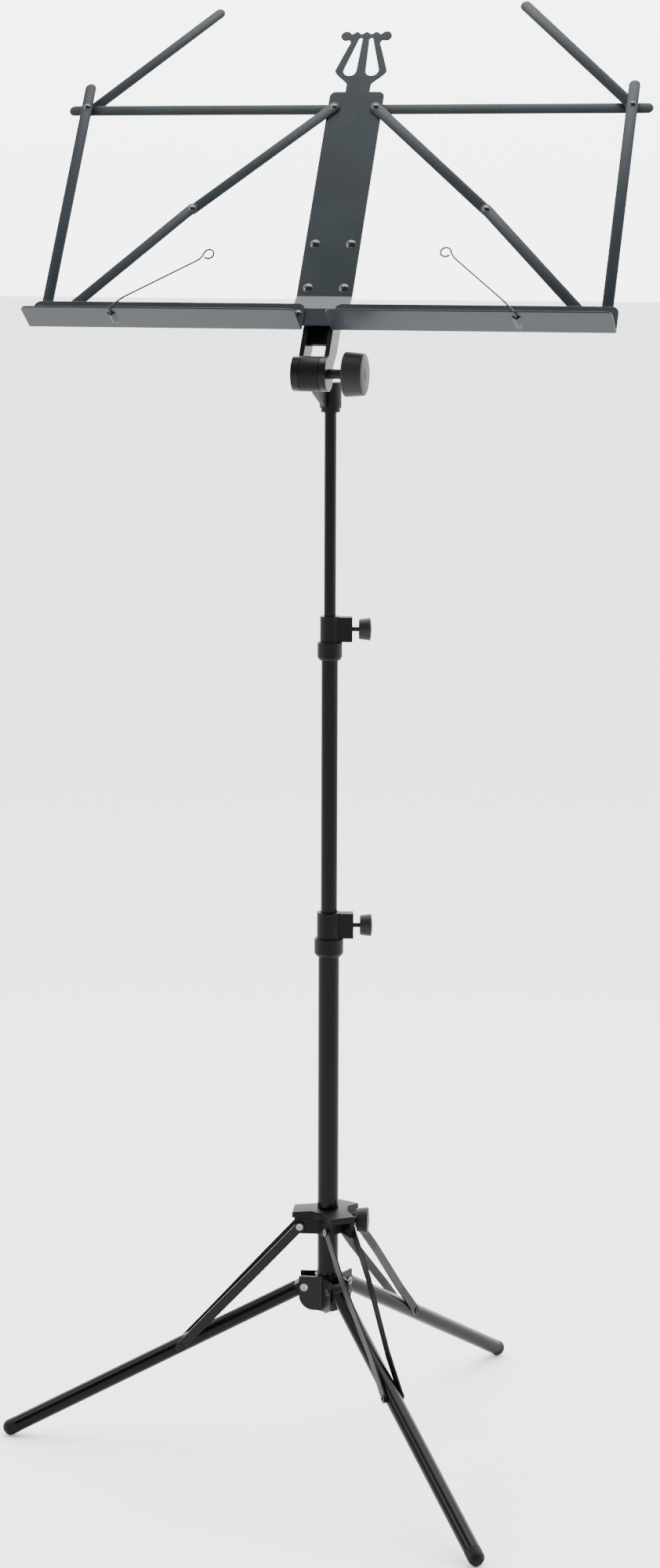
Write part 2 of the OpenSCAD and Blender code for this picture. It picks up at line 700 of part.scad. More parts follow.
module centre_plate() {
    half = plate_w / 2;
    r = 5;
    step_n = layer_front(tab_layer);
    color("#3e4950") in_desk() difference() {
        union() {
            translate([0, 0, -sheet_t]) linear_extrude(sheet_t) {
                polygon(concat([[-half, 0], [half, 0]],
                               arc([half - r, shoulder_v - r], r, 0, 90),
                               arc([r - half, shoulder_v - r], r, 90, 180)));
                translate([0, shoulder_v]) lyre();
            }
            translate([-half, 0, 0]) rotate([90, 0, 90]) linear_extrude(plate_w) polygon([
                [eps, 0], [-joggle_h, step_n], [tab_bottom_v, step_n],
                [tab_bottom_v, step_n - sheet_t], [-joggle_h, step_n - sheet_t], [eps, -sheet_t]
            ]);
        }
        for (x = [-pivot_x, pivot_x], v = [lower_pivot_v, upper_pivot_v])
            translate([x, v, -10]) cylinder(d = pin_d + 2 * run_fit, h = 30);
        for (x = [-rivet_x, rivet_x], v = [rivet_low_v, rivet_high_v])
            translate([x, v, -10]) cylinder(d = pin_d + 2 * run_fit, h = 30);
    }
}

module plate_rivets() {
    back = -sheet_t - fork_base_t;
    color("#4a4f53") in_desk() for (x = [-rivet_x, rivet_x], v = [rivet_low_v, rivet_high_v])
        translate([x, v, 0]) {
            translate([0, 0, back]) cylinder(d = pin_d, h = -back + eps);
            dome(plate_rivet_d, plate_rivet_h);
            translate([0, 0, back - tail_h])
                cylinder(d = 2 * (rivet_x - cheek_in - fork_t) - 0.2, h = tail_h);
        }
}

module desk_pivots() {
    color("#4a4f53") in_desk() for (s = [-1, 1]) {
        translate([s * pivot_x, lower_pivot_v, 0])
            rivet(layer_back(tab_layer), layer_front(flange_layer) + 0.1);
        translate([s * pivot_x, upper_pivot_v, 0])
            rivet(layer_back(-1) - 0.1, layer_front(1) + 0.1);
    }
}

// One half of the music shelf with its back flange
module wing(right) {
    top_v = shelf_v + flange_h;
    r = flange_corner_r;
    q = shelf_corner_r;
    len = wing_end - shelf_gap;
    color("#41484d") in_desk() side(right) difference() {
        union() {
            translate([shelf_gap, 0, flange_back]) linear_extrude(sheet_t) polygon(concat(
                [[0, shelf_v], [len, shelf_v]],
                arc([len - r, top_v - r], r, 0, 90), arc([r, top_v - r], r, 90, 180)));
            translate([shelf_gap, shelf_v + sheet_t, 0]) rotate([90, 0, 0])
                linear_extrude(sheet_t) polygon(concat(
                    [[0, flange_back], [len, flange_back]],
                    arc([len - q, shelf_front - q], q, 0, 90),
                    arc([q, shelf_front - q], q, 90, 180)));
            translate([clip_x, shelf_v + eps, flange_back + 6]) linear_extrude(shelf_depth - 13)
                polygon([[-lance_w / 2, 0], [lance_w / 2, 0], [0, -lance_h]]);
        }
        for (x = [pivot_x, diagonal_x, side_x]) translate([x, lower_pivot_v, 0])
            cylinder(d = pin_d + 2 * run_fit, h = 30);
        translate([clip_x, clip_axis_v + 0.1, flange_back + 2])
            cylinder(d = wire_d + 2 * run_fit, h = shelf_depth + 4);
    }
}

module wing_pivots(right) {
    color("#4a4f53") in_desk() side(right) {
        translate([side_x, lower_pivot_v, 0]) {
            rivet(layer_back(2) - 0.1, layer_front(flange_layer));
            spacer(tab_layer);
        }
        translate([diagonal_x, lower_pivot_v, 0]) {
            rivet(layer_back(tab_layer), layer_front(flange_layer), 0);
            translate([0, 0, layer_back(tab_layer)]) cylinder(d = head_d + 1, h = sheet_t);
        }
    }
}

module side_bar(right) {
    color("#3b4449") in_desk() side(right)
        bar([side_x, lower_pivot_v], [side_x, upper_pivot_v], 2, 0, side_bar_over);
}

// The corner where the top bar, the book arm and the side bar meet
module corner_pivot(right) {
    back = right ? layer_back(-1) : layer_back(-2);
    color("#4a4f53") in_desk() side(right) translate([side_x, upper_pivot_v, 0]) {
        rivet(back - 0.1, layer_front(2));
        spacer(0);
        if (!right) spacer(1);
    }
}

module top_bar(right) {
    color("#3b4449") in_desk() side(right)
        bar([pivot_x, upper_pivot_v], [side_x, upper_pivot_v], -1, 0, top_bar_over - bar_w / 2);
}

module upper_diagonal(right) {
    color("#3b4449") in_desk() side(right)
        bar([pivot_x, upper_pivot_v], [elbow_x, elbow_v], 1);
}

module elbow_pivot(right) {
    color("#4a4f53") in_desk() side(right) translate([elbow_x, elbow_v, 0])
        rivet(layer_back(1), layer_front(2) + 0.1, 0);
}

module lower_diagonal(right) {
    color("#3b4449") in_desk() side(right)
        bar([elbow_x, elbow_v], [diagonal_x, lower_pivot_v], 2, holes = [0]);
}

module book_arm(right) {
    foot = [side_x, upper_pivot_v];
    tip = foot + polar(book_arm_len, 180 - book_arm_rise);
    color("#3b4449") in_desk() side(right) bar(foot, tip, right ? 1 : -2, 0, 0, [0]);
}

function unit(v) = v / norm(v);
// Direction of the path at point i
function heading(p, i) = unit(p[min(i + 1, len(p) - 1)] - p[max(i - 1, 0)]);
// A side direction at each point, carried along the path without twist
function sides_of(p, side) = [
    for (i = 0, u = side; i < len(p); i = i + 1,
         u = i < len(p) ? unit(u - (u * heading(p, i)) * heading(p, i)) : u) u
];

// A round wire swept along a path, starting with the given side direction
module wire(path, side) {
    sides = 10;
    u = sides_of(path, side);
    last = len(path) - 1;
    points = [for (i = [0:last], j = [0:sides - 1])
        let (a = 360 * j / sides, w = cross(heading(path, i), u[i]))
        path[i] + (u[i] * cos(a) + w * sin(a)) * wire_d / 2];
    walls = [for (i = [0:last - 1], j = [0:sides - 1]) let (k = (j + 1) % sides)
        [i * sides + j, (i + 1) * sides + j, (i + 1) * sides + k, i * sides + k]];
    ends = [[for (j = [0:sides - 1]) j], [for (j = [sides - 1:-1:0]) last * sides + j]];
    polyhedron(points, concat(walls, ends), convexity = 6);
}

// Runs from its lance out past the shelf, up over the shelf's front and into an open loop
module page_clip(right) {
    front = shelf_front + clip_front_gap;
    run = polar(1, 180 - clip_rise);
    kink = 180 - clip_rise - 24;
    knee = run * clip_straight;
    foot = [clip_x, clip_axis_v + 0.1];
    tip = foot + run * clip_len;
    loop_start = tip + polar(5, kink);
    tip_n = clip_tip_n + (right ? clip_stagger : 0);
    centre = loop_start + polar(clip_loop_r, kink + 90);
    bend = [for (a = [0:22.5:90]) concat(foot + run * clip_bend_r * (1 - cos(a)),
                                         [front - clip_bend_r * (1 - sin(a))])];
    path = concat(
        [concat(foot, [flange_back + 8])], bend,
        [concat(foot + knee, [front]), concat(tip - run * 3, [tip_n]),
         concat(tip + polar(2, kink), [tip_n])],
        [for (p = arc(centre, clip_loop_r, kink - 90, kink + 210, 20)) concat(p, [tip_n])]
    );
    color("#2f3335") in_desk() side(right) wire(path, [sin(clip_rise), cos(clip_rise), 0]);
}

lower_hub();
leg_pivot_pins();
lower_tube();
lower_collar();
lower_clamp();
lower_brake_pad();
lower_clamp_knob();
leg_tube(1);  // leg_tube_1
leg_tube(2);  // leg_tube_2
leg_tube(3);  // leg_tube_3
leg_end(1);  // leg_end_1
leg_end(2);  // leg_end_2
leg_end(3);  // leg_end_3
foot_cap(1);  // foot_cap_1
foot_cap(2);  // foot_cap_2
foot_cap(3);  // foot_cap_3
slider_body();
slider_cap();
slider_pins();
strut_pair(1);  // strut_pair_1
strut_pair(2);  // strut_pair_2
strut_pair(3);  // strut_pair_3
hub_knob();
middle_tube();
middle_bush();
upper_collar();
upper_clamp();
upper_brake_pad();
upper_clamp_knob();
upper_bush();
upper_tube();
pole_head();
tilt_fork();
tilt_washers();
tilt_nut();
tilt_knob();
centre_plate();
plate_rivets();
desk_pivots();
wing(false);  // left_wing
wing(true);  // right_wing
wing_pivots(false);  // left_wing_pivots
wing_pivots(true);  // right_wing_pivots
side_bar(false);  // left_side_bar
side_bar(true);  // right_side_bar
corner_pivot(false);  // left_corner_pivot
corner_pivot(true);  // right_corner_pivot
top_bar(false);  // left_top_bar
top_bar(true);  // right_top_bar
upper_diagonal(false);  // left_upper_diagonal
upper_diagonal(true);  // right_upper_diagonal
elbow_pivot(false);  // left_elbow_pivot
elbow_pivot(true);  // right_elbow_pivot
lower_diagonal(false);  // left_lower_diagonal
lower_diagonal(true);  // right_lower_diagonal
book_arm(false);  // left_book_arm
book_arm(true);  // right_book_arm
page_clip(false);  // left_page_clip
page_clip(true);  // right_page_clip
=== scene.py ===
import json
import math

import bmesh
import bpy
from mathutils import Matrix, Vector

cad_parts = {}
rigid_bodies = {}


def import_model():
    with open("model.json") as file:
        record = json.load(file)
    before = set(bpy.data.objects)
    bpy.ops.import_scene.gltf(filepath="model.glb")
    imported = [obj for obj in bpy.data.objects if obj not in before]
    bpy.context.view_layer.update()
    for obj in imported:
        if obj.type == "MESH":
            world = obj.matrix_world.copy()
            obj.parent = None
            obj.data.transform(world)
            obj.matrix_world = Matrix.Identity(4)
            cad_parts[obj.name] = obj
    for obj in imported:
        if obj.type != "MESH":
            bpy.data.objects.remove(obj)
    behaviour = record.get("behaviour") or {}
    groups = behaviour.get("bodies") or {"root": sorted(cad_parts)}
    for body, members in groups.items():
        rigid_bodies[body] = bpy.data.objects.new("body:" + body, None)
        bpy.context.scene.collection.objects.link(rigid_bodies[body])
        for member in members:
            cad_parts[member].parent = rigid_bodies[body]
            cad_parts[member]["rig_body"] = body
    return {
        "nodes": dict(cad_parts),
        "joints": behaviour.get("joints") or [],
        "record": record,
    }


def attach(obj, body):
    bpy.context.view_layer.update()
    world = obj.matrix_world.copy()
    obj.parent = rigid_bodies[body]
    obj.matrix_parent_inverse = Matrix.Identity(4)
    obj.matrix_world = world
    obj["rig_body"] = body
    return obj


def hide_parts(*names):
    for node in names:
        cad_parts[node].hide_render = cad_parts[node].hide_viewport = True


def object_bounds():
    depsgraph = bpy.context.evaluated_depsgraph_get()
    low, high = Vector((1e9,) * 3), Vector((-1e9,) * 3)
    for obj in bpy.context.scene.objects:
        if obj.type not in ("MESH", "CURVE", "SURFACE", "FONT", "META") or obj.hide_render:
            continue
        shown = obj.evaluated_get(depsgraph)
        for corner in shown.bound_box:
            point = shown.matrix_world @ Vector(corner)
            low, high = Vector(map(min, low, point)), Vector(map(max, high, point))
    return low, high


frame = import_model()
cad_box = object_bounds()

NODES = frame["nodes"]
JOINTS = {j["name"]: j for j in frame["joints"]}
SLOT_OF = {s["node"]: s["material_slot"] for s in frame["record"]["subparts"]}
MM = 0.001


# ---------------------------------------------------------------- materials

def shader(name, colour, roughness, metallic=0.0, vary=0.12, grain=900.0, bump=0.04,
           coat=0.0, coat_roughness=0.2, specular=0.5, rough_vary=0.06, mottle=40.0):
    """A coated or moulded surface: its colour clouds a little, and its grain is in the bump."""
    mat = bpy.data.materials.new(name)
    mat.use_nodes = True
    tree = mat.node_tree
    bsdf = tree.nodes["Principled BSDF"]
    bsdf.inputs["Metallic"].default_value = metallic
    bsdf.inputs["Specular IOR Level"].default_value = specular
    bsdf.inputs["Coat Weight"].default_value = coat
    bsdf.inputs["Coat Roughness"].default_value = coat_roughness

    place = tree.nodes.new("ShaderNodeTexCoord")
    cloud = tree.nodes.new("ShaderNodeTexNoise")
    cloud.inputs["Scale"].default_value = mottle
    cloud.inputs["Detail"].default_value = 5.0
    tree.links.new(place.outputs["Object"], cloud.inputs["Vector"])

    ramp = tree.nodes.new("ShaderNodeValToRGB")
    ramp.color_ramp.elements[0].position = 0.3
    ramp.color_ramp.elements[1].position = 0.7
    ramp.color_ramp.elements[0].color = [c * (1 - vary) for c in colour] + [1.0]
    ramp.color_ramp.elements[1].color = [min(1.0, c * (1 + vary)) for c in colour] + [1.0]
    tree.links.new(cloud.outputs["Fac"], ramp.inputs["Fac"])
    tree.links.new(ramp.outputs["Color"], bsdf.inputs["Base Color"])

    rough = tree.nodes.new("ShaderNodeMapRange")
    rough.inputs["To Min"].default_value = max(0.02, roughness - rough_vary)
    rough.inputs["To Max"].default_value = min(1.0, roughness + rough_vary)
    tree.links.new(cloud.outputs["Fac"], rough.inputs["Value"])
    tree.links.new(rough.outputs["Result"], bsdf.inputs["Roughness"])

    fine = tree.nodes.new("ShaderNodeTexNoise")
    fine.inputs["Scale"].default_value = grain
    fine.inputs["Detail"].default_value = 3.0
    tree.links.new(place.outputs["Object"], fine.inputs["Vector"])
    relief = tree.nodes.new("ShaderNodeBump")
    relief.inputs["Strength"].default_value = bump
    relief.inputs["Distance"].default_value = 0.0004
    tree.links.new(fine.outputs["Fac"], relief.inputs["Height"])
    tree.links.new(relief.outputs["Normal"], bsdf.inputs["Normal"])
    return mat


MATERIALS = {
    "desk_steel": shader("desk_steel", (0.010, 0.0145, 0.018), 0.36, vary=0.10, specular=0.20,
                         grain=700.0, bump=0.05, mottle=28.0, rough_vary=0.04),
    "tube_black": shader("tube_black", (0.0012, 0.0014, 0.0016), 0.22, vary=0.15, specular=0.06,
                         grain=500.0, bump=0.03, coat=0.06, coat_roughness=0.10, mottle=20.0,
                         rough_vary=0.04),
    "plastic_black": shader("plastic_black", (0.0022, 0.0024, 0.0026), 0.50, vary=0.12,
                            specular=0.10, grain=2200.0, bump=0.16, mottle=60.0),
    "knob_plastic": shader("knob_plastic", (0.006, 0.0065, 0.0072), 0.52, vary=0.12,
                           specular=0.18, grain=2400.0, bump=0.20, mottle=60.0),
    "hub_steel": shader("hub_steel", (0.0032, 0.0038, 0.0044), 0.34, vary=0.12, specular=0.12,
                        grain=1300.0, bump=0.08, mottle=35.0),
    "rivet_steel": shader("rivet_steel", (0.055, 0.055, 0.052), 0.22, metallic=1.0, vary=0.15,
                          grain=1800.0, bump=0.05, mottle=150.0),
    "eyelet_steel": shader("eyelet_steel", (0.16, 0.17, 0.18), 0.28, metallic=1.0, vary=0.12,
                           grain=1800.0, bump=0.05, mottle=150.0),
    "wire_steel": shader("wire_steel", (0.02, 0.021, 0.023), 0.30, metallic=0.9, vary=0.15,
                         grain=1500.0, bump=0.05, mottle=90.0),
    "foot_rubber": shader("foot_rubber", (0.0028, 0.0030, 0.0032), 0.62, vary=0.15,
                          specular=0.12, grain=1600.0, bump=0.20, mottle=70.0),
    "bush_plastic": shader("bush_plastic", (0.50, 0.50, 0.47), 0.45, vary=0.05, grain=1500.0,
                           bump=0.08, mottle=60.0),
}


# ---------------------------------------------------------------- making pieces

def smooth(mesh, angle=35.0):
    mesh.shade_smooth()
    mesh.set_sharp_from_angle(angle=math.radians(angle))


def add(name, mesh, *replaced, weighted=True, sharp=35.0):
    """Puts a mesh in the scene in place of the named nodes, with their body, slot and finish."""
    smooth(mesh, sharp)
    obj = bpy.data.objects.new(name, mesh)
    bpy.context.scene.collection.objects.link(obj)
    node = replaced[0]
    obj.data.materials.append(MATERIALS[SLOT_OF[node]])
    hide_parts(*replaced)
    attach(obj, NODES[node]["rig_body"])
    if weighted:
        shade = obj.modifiers.new("shade", "WEIGHTED_NORMAL")
        shade.keep_sharp = True
    return obj


def welded(mesh, dist=1e-6):
    bm = bmesh.new()
    bm.from_mesh(mesh)
    bmesh.ops.remove_doubles(bm, verts=bm.verts, dist=dist)
    bmesh.ops.recalc_face_normals(bm, faces=bm.faces)
    bm.to_mesh(mesh)
    bm.free()
    return mesh


def from_curve(curve):
    obj = bpy.data.objects.new("outline", curve)
    bpy.context.scene.collection.objects.link(obj)
    bpy.context.view_layer.update()
    shape = obj.evaluated_get(bpy.context.evaluated_depsgraph_get())
    mesh = bpy.data.meshes.new_from_object(shape)
    bpy.data.objects.remove(obj)
    bpy.data.curves.remove(curve)
    return welded(mesh)


def sheet_mesh(loops, thickness, edge):
    """A flat sheet with rounded edges, centred on z = 0. The first loop is the outside."""
    curve = bpy.data.curves.new("outline", "CURVE")
    curve.dimensions = "2D"
    curve.fill_mode = "BOTH"
    curve.extrude = thickness / 2 - edge
    curve.bevel_depth = edge
    curve.bevel_resolution = 2
    curve.offset = -edge
    for loop in loops:
        spline = curve.splines.new("POLY")
        spline.points.add(len(loop) - 1)
        for point, (x, y) in zip(spline.points, loop):
            point.co = (x, y, 0, 1)
        spline.use_cyclic_u = True
    return from_curve(curve)


def arc(cx, cy, r, start, end, steps=12):
    return [(cx + r * math.cos(math.radians(start + (end - start) * i / steps)),
             cy + r * math.sin(math.radians(start + (end - start) * i / steps)))
            for i in range(steps + 1)]


def turned(profile, place, segments=64):
    """A turned piece from (radius, height) points, about z."""
    bm = bmesh.new()
    rings = []
    for r, z in profile:
        if r < 1e-7:
            rings.append([bm.verts.new((0, 0, z))])
            continue
        rings.append([bm.verts.new((r * math.cos(2 * math.pi * i / segments),
                                    r * math.sin(2 * math.pi * i / segments), z))
                      for i in range(segments)])
    for low, high in zip(rings, rings[1:]):
        for i in range(segments):
            j = (i + 1) % segments
            if len(low) == 1:
                bm.faces.new((low[0], high[i], high[j]))
            elif len(high) == 1:
                bm.faces.new((low[i], low[j], high[0]))
            else:
                bm.faces.new((low[i], low[j], high[j], high[i]))
    bmesh.ops.recalc_face_normals(bm, faces=bm.faces)
    mesh = bpy.data.meshes.new("turned")
    bm.to_mesh(mesh)
    bm.free()
    mesh.transform(place)
    return mesh


def along(origin, axis):
    """The placing of a piece drawn along z, so that it runs from origin along axis."""
    turn = Vector(axis).normalized().to_track_quat("Z", "Y")
    return Matrix.Translation(origin) @ turn.to_matrix().to_4x4()


# ---------------------------------------------------------------- the desk's own axes

def joint_at(name):
    return Vector(JOINTS[name]["pos_m"])


LOWER_PIVOT_V = -21 * MM
SHEET = 1.5 * MM
PITCH = 1.8 * MM
EDGE = 0.35 * MM
BAR_W = 9.5 * MM

across = Vector((1, 0, 0))
up_desk = (joint_at("right_top_bar_fold") - joint_at("right_wing_fold")).normalized()
out_desk = across.cross(up_desk)
desk_origin = ((joint_at("right_wing_fold") + joint_at("left_wing_fold")) / 2
               - up_desk * LOWER_PIVOT_V)
DESK = Matrix((
    (across.x, up_desk.x, out_desk.x, desk_origin.x),
    (across.y, up_desk.y, out_desk.y, desk_origin.y),
    (across.z, up_desk.z, out_desk.z, desk_origin.z),
    (0, 0, 0, 1),
))
IN_DESK = DESK.inverted()


def desk_point(name):
    """A joint's place as (x, v) on the desk."""
    p = IN_DESK @ joint_at(name)
    return Vector((p.x, p.y))


def layer_mid(k):
    return k * PITCH - SHEET / 2


def bar(node, start, end, layer, over_start=0.0, over_end=0.0):
    """A flat bar with round ends and softened edges."""
    run = end - start
    turn = math.atan2(run.y, run.x)
    r = BAR_W / 2
    length = run.length
    loop = (arc(-over_start, 0, r, 90, 270, 16) + arc(length + over_end, 0, r, -90, 90, 16))
    mesh = sheet_mesh([loop], SHEET, EDGE)
    mesh.transform(DESK @ Matrix.Translation((start.x, start.y, layer_mid(layer)))
                   @ Matrix.Rotation(turn, 4, "Z"))
    return add(node + "_bar", mesh, node, weighted=False, sharp=20.0)


SIDE_OVER = 19 * MM
TOP_OVER = 17 * MM - BAR_W / 2
ARM_LEN = 143 * MM
ARM_RISE = 45.4
DIAGONAL_X = 219 * MM

for side, sign in (("right", 1), ("left", -1)):
    inner_high = desk_point(side + "_top_bar_fold")
    outer_low = desk_point(side + "_side_bar_fold")
    outer_high = desk_point(side + "_book_arm_turn")
    elbow = desk_point(side + "_lower_diagonal_fold")
    foot = Vector((sign * DIAGONAL_X, LOWER_PIVOT_V))
    rise = math.radians(180 - ARM_RISE)
    tip = outer_high + ARM_LEN * Vector((sign * math.cos(rise), math.sin(rise)))
    bar(side + "_side_bar", outer_low, outer_high, 2, 0.0, SIDE_OVER)
    bar(side + "_top_bar", inner_high, outer_high, -1, 0.0, TOP_OVER)
    bar(side + "_upper_diagonal", inner_high, elbow, 1)
    bar(side + "_lower_diagonal", elbow, foot, 2)
    bar(side + "_book_arm", outer_high, tip, 1 if side == "right" else -2)


# ---------------------------------------------------------------- bent sheet parts

SHEET_END = -1.0
ARC_STEPS = 6


def bend_mesh(mesh, knees):
    """Bends a flat sheet drawn in x, y. knees is a list of (y, angle, radius), from y = 0 down:
    below y the sheet turns by angle about a line along x, on the given middle radius. The last
    flat stretch runs to SHEET_END, far past any sheet here."""
    path = []
    y_flat, y, n, heading = 0.0, 0.0, 0.0, 0.0
    for knee_y, angle, radius in knees:
        run = y_flat - knee_y
        path.append(("line", y_flat, knee_y, y, n, heading))
        y -= run * math.cos(heading)
        n += run * math.sin(heading)
        swing = abs(angle) * radius
        path.append(("arc", knee_y, knee_y - swing, y, n, heading, angle, radius))
        s = math.copysign(1, angle)
        cy, cn = y + s * radius * math.sin(heading), n + s * radius * math.cos(heading)
        heading += angle
        y = cy - s * radius * math.sin(heading)
        n = cn - s * radius * math.cos(heading)
        y_flat = knee_y - swing
    path.append(("line", y_flat, SHEET_END, y, n, heading))

    bm = bmesh.new()
    bm.from_mesh(mesh)
    for seg in path:
        steps = ARC_STEPS if seg[0] == "arc" else 1
        for i in range(steps + 1):
            cut = seg[1] + (seg[2] - seg[1]) * i / steps
            if cut <= SHEET_END * 0.9:
                continue
            bmesh.ops.bisect_plane(bm, geom=bm.verts[:] + bm.edges[:] + bm.faces[:],
                                   plane_co=(0, cut, 0), plane_no=(0, 1, 0), dist=1e-7)
    for vert in bm.verts:
        x, yy, off = vert.co
        if yy >= 0:
            continue
        for seg in path:
            if yy >= seg[2] - 1e-9:
                break
        if seg[0] == "line":
            h = seg[5]
            run = seg[1] - yy
            base_y, base_n = seg[3] - run * math.cos(h), seg[4] + run * math.sin(h)
        else:
            angle, radius = seg[6], seg[7]
            s = math.copysign(1, angle)
            h = seg[5] + s * (seg[1] - yy) / radius
            cy = seg[3] + s * radius * math.sin(seg[5])
            cn = seg[4] + s * radius * math.cos(seg[5])
            base_y, base_n = cy - s * radius * math.sin(h), cn - s * radius * math.cos(h)
        vert.co = (x, base_y + off * math.sin(h), base_n + off * math.cos(h))
    bmesh.ops.remove_doubles(bm, verts=bm.verts, dist=1e-7)
    bm.to_mesh(mesh)
    bm.free()
    return mesh


def rounded_rect(x0, x1, y0, y1, low_r, high_r):
    return (arc(x1 - high_r, y1 - high_r, high_r, 0, 90)
            + arc(x0 + high_r, y1 - high_r, high_r, 90, 180)
            + arc(x0 + low_r, y0 + low_r, low_r, 180, 270)
            + arc(x1 - low_r, y0 + low_r, low_r, 270, 360))


# The centre plate, its lyre finial and its stepped foot
PLATE_W = 47 * MM
SHOULDER_V = 202.5 * MM
STEP_N = 3 * PITCH
JOGGLE_H = 15 * MM
TAB_LOW = -31 * MM
PLATE_CORNER = 5 * MM
PLATE_BEND_R = 1.2 * MM


def lyre_outline():
    """Half the lyre from its neck up to a lobe, three peaks, and the half again mirrored, in mm."""
    half = [(10.5, 0), (10.5, 7), (11.0, 8.8), (12.2, 10.2), (18.2, 15.6), (20.8, 18.4),
            (22.25, 20.6), (22.25, 22.0), (21.6, 24.5), (19.6, 30.5), (16.8, 39.0), (14.4, 46.0),
            (13.0, 49.5), (13.1, 51.4), (14.2, 53.2)]
    lobe = arc(17.5, 57.5, 4.6, -118, 128, 14)
    peak_w, peak_top, peak_foot = 8.4, 62, 59.1
    teeth = [(i * peak_w / 2, peak_foot if i % 2 else peak_top) for i in range(3, -4, -1)]
    right = half + lobe
    left = [(-x, y) for x, y in reversed(right)]
    return right + teeth + left


def teardrop(sign):
    """One opening of the lyre, between a wide round foot and a narrow round tip."""
    foot_c, foot_r, tip_c, tip_r = Vector((9.6, 22)), 5.6, Vector((4.6, 54)), 1.6
    d = tip_c - foot_c
    lie = math.degrees(math.atan2(d.y, d.x))
    flank = math.degrees(math.acos((foot_r - tip_r) / d.length))
    loop = (arc(*foot_c, foot_r, lie + flank, lie - flank + 360, 20)
            + arc(*tip_c, tip_r, lie - flank, lie + flank, 10))
    return [(sign * x * MM, y * MM + SHOULDER_V) for x, y in loop]


half_w = PLATE_W / 2
corner = PLATE_CORNER
joggle_turn = math.atan2(STEP_N, JOGGLE_H)
joggle_len = math.hypot(STEP_N, JOGGLE_H)
tab_len = -TAB_LOW - JOGGLE_H
flat_low = -(joggle_len + tab_len)
crown = [(x * MM, y * MM + SHOULDER_V) for x, y in lyre_outline()]
outline = ([(half_w, flat_low), (half_w, SHOULDER_V - corner)]
           + arc(half_w - corner, SHOULDER_V - corner, corner, 10, 90, 8) + crown
           + arc(corner - half_w, SHOULDER_V - corner, corner, 90, 170, 8)
           + [(-half_w, SHOULDER_V - corner), (-half_w, flat_low)])
plate = sheet_mesh([outline, teardrop(1), teardrop(-1)], SHEET, EDGE)
slack = PLATE_BEND_R * math.tan(joggle_turn / 2)
swing_len = PLATE_BEND_R * joggle_turn
bend_mesh(plate, [(0.0, joggle_turn, PLATE_BEND_R),
                  (-swing_len - (joggle_len - 2 * slack), -joggle_turn, PLATE_BEND_R)])
plate.transform(DESK @ Matrix.Translation((0, 0, -SHEET / 2)))
add("centre_plate_sheet", plate, "centre_plate")

def lance_mesh(start, length):
    """The tongue pressed out under the shelf for a clip: a shallow V that widens to the front."""
    sunk = 0.3
    stations = [(0.0, 1.0, 0.3), (0.12, 2.2, 1.1), (0.3, 3.3, 2.0), (0.55, 3.9, 2.5),
                (1.0, 4.0, 2.6)]
    bm = bmesh.new()
    rings = []
    for share, half, deep in stations:
        profile = [(-half, sunk), (-half, 0), (-half * 0.5, -deep * 0.55),
                   (-half * 0.14, -deep * 0.96), (0, -deep), (half * 0.14, -deep * 0.96),
                   (half * 0.5, -deep * 0.55), (half, 0), (half, sunk)]
        rings.append([bm.verts.new((x * MM, v * MM, start + share * length)) for x, v in profile])
    for back, front in zip(rings, rings[1:]):
        for i in range(len(back)):
            j = (i + 1) % len(back)
            bm.faces.new((back[i], back[j], front[j], front[i]))
    bm.faces.new(rings[0])
    bm.faces.new(rings[-1])
    bmesh.ops.recalc_face_normals(bm, faces=bm.faces)
    mesh = bpy.data.meshes.new("lance")
    bm.to_mesh(mesh)
    bm.free()
    return mesh


# The two halves of the shelf, each one sheet bent along its lower edge
CLIP_X = 168 * MM
flange_back = 4 * PITCH - SHEET
SHELF_V = LOWER_PIVOT_V - 15.5 * MM
FLANGE_H = 25 * MM
SHELF_DEPTH = 31 * MM
SHELF_GAP = 12.5 * MM
WING_END = 245 * MM
SHELF_BEND_R = 1.25 * MM
SHELF_CORNER = 5 * MM
FLANGE_CORNER = 6 * MM
LANCE_BACK = 6 * MM
LANCE_SHORT = 13 * MM

for side, sign in (("right", 1), ("left", -1)):
    fold_len = SHELF_BEND_R * math.pi / 2
    up_flat = FLANGE_H - SHEET / 2 - SHELF_BEND_R
    down_flat = SHELF_DEPTH - SHEET / 2 - SHELF_BEND_R
    x0, x1 = sorted((sign * SHELF_GAP, sign * WING_END))
    loop = rounded_rect(x0, x1, -(fold_len + down_flat), up_flat, SHELF_CORNER, FLANGE_CORNER)
    mesh = sheet_mesh([loop], SHEET, EDGE)
    bend_mesh(mesh, [(0.0, math.pi / 2, SHELF_BEND_R)])
    mid_n = layer_mid(4)
    mesh.transform(DESK @ Matrix.Translation((0, SHELF_V + SHEET / 2 + SHELF_BEND_R, mid_n)))
    add(side + "_wing_sheet", mesh, side + "_wing")
    lance = lance_mesh(flange_back + LANCE_BACK, SHELF_DEPTH - LANCE_SHORT)
    lance.transform(DESK @ Matrix.Translation((sign * CLIP_X, SHELF_V, 0)))
    add(side + "_wing_lance", lance, side + "_wing")


# ---------------------------------------------------------------- page clips

CLIP_V = SHELF_V - 1.2 * MM
CLIP_RISE = 47.0
CLIP_LEN = 91 * MM
CLIP_STRAIGHT = 14 * MM
CLIP_KINK = 24
CLIP_LOOP_R = 4.3 * MM
CLIP_BEND_R = 1.6 * MM
CLIP_GAP = 1.2 * MM
CLIP_BACK = 8 * MM
EASE = 1.5 * MM
WIRE_D = 1.4 * MM

